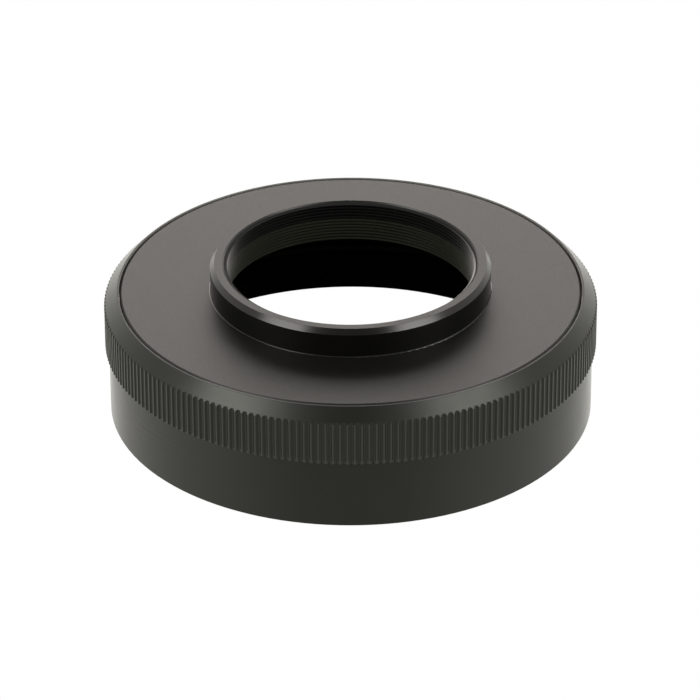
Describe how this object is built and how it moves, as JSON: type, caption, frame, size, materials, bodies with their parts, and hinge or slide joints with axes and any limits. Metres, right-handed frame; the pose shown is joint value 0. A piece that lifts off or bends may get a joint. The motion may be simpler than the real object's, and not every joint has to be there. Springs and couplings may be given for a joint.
{
  "type": "telescope adapter ring",
  "caption": "Round adapter between a telescope and a camera: threaded barrel, turning camera flange with a threaded collar, and a knurled clamp ring that locks it.",
  "frame": {"origin": "centre of the barrel's open mouth, on the common axis, in the plane the part stands on", "axes": "+Z along the common axis from the telescope to the camera; the part is round about Z"},
  "size_m": [0.1064, 0.1064, 0.0343],
  "materials": {
    "barrel_anodised": "black anodised, fine turned, satin",
    "flange_blasted": "black anodised over a fine blasted face, matt, with a satin collar",
    "ring_anodised": "black anodised, fluted by a ball-nosed cutter, satin"
  },
  "bodies": {
    "barrel": {"barrel": "barrel_anodised"},
    "camera_flange": {"camera_flange": "flange_blasted"},
    "clamp_ring": {"clamp_ring": "ring_anodised"}
  },
  "joints": [
    {"name": "camera_turn", "type": "hinge", "parent": "barrel", "child": "camera_flange", "pos_m": [0, 0, 0.0252], "axis": [0, 0, 1], "continuous": true},
    {"name": "clamp_turn", "type": "hinge", "parent": "barrel", "child": "clamp_ring", "pos_m": [0, 0, 0.0205], "axis": [0, 0, 1], "range_deg": [0, 90]}
  ]
}
